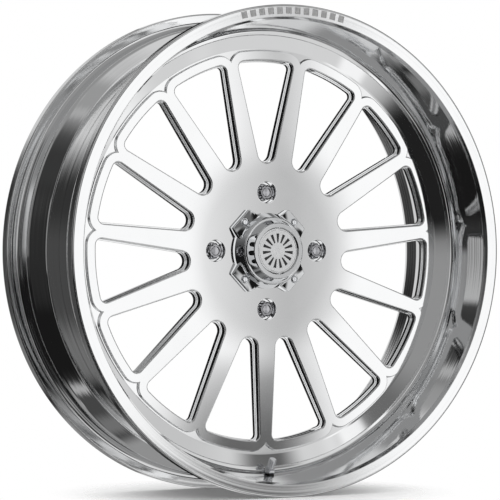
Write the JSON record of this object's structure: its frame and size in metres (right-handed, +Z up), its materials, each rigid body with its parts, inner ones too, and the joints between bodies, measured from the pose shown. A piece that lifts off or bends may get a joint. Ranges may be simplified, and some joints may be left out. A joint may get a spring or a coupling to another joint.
{
  "type": "forged wheel rim",
  "caption": "Polished forged wheel rim with a deep dish, slim spokes, splined lug nuts, a bolted centre cap and a leaning valve.",
  "frame": {"origin": "centre of the rim's overall width, on the wheel's axis", "axes": "+Y along the wheel's axis towards the vehicle, so the outboard side faces -Y; +Z up; the valve is at -Z"},
  "size_m": [0.6489, 0.208, 0.649],
  "materials": {
    "polished_aluminium": "mirror-polished",
    "raw_weld": "as welded",
    "chrome": "bright plated",
    "brushed_medallion": "satin",
    "black_inlay": "gloss black fill",
    "rubber": "matt",
    "brass": "machined",
    "seal_plastic": "matt"
  },
  "bodies": {
    "rim": {"outer_barrel": "polished_aluminium", "forged_centre": "polished_aluminium", "weld_bead": "raw_weld", "valve_stem": "chrome", "valve_grommet": "rubber", "valve_washer": "chrome", "valve_nut": "chrome", "valve_core_body": "brass", "valve_core_seal": "seal_plastic"},
    "lug_nut_1": {"lug_nut_1": "chrome"},
    "lug_nut_2": {"lug_nut_2": "chrome"},
    "lug_nut_3": {"lug_nut_3": "chrome"},
    "lug_nut_4": {"lug_nut_4": "chrome"},
    "centre_cap": {"cap_base": "chrome", "cap_bezel": "chrome", "cap_medallion": "brushed_medallion", "medallion_inlay": "black_inlay", "cap_o_ring": "rubber"},
    "cap_screws": {"cap_screws": "chrome"},
    "valve_cap": {"valve_cap": "chrome", "valve_cap_seal": "rubber"},
    "valve_pin": {"valve_core_pin": "brass"}
  },
  "joints": [
    {"name": "lug_nut_1_off", "type": "slide", "parent": "rim", "child": "lug_nut_1", "axis": [0, -1, 0], "range_m": [0, 0.06]},
    {"name": "lug_nut_2_off", "type": "slide", "parent": "rim", "child": "lug_nut_2", "axis": [0, -1, 0], "range_m": [0, 0.06]},
    {"name": "lug_nut_3_off", "type": "slide", "parent": "rim", "child": "lug_nut_3", "axis": [0, -1, 0], "range_m": [0, 0.06]},
    {"name": "lug_nut_4_off", "type": "slide", "parent": "rim", "child": "lug_nut_4", "axis": [0, -1, 0], "range_m": [0, 0.06]},
    {"name": "centre_cap_off", "type": "slide", "parent": "rim", "child": "centre_cap", "axis": [0, -1, 0], "range_m": [0, 0.08]},
    {"name": "cap_screws_out", "type": "slide", "parent": "centre_cap", "child": "cap_screws", "axis": [0, -1, 0], "range_m": [0, 0.03]},
    {"name": "valve_cap_off", "type": "slide", "parent": "rim", "child": "valve_cap", "axis": [0, -0.5, 0.866], "range_m": [0, 0.02]},
    {"name": "valve_pin_press", "type": "slide", "parent": "rim", "child": "valve_pin", "axis": [0, 0.5, -0.866], "range_m": [0, 0.0013], "stiffness_N_per_m": 800, "springref_m": -0.001}
  ]
}
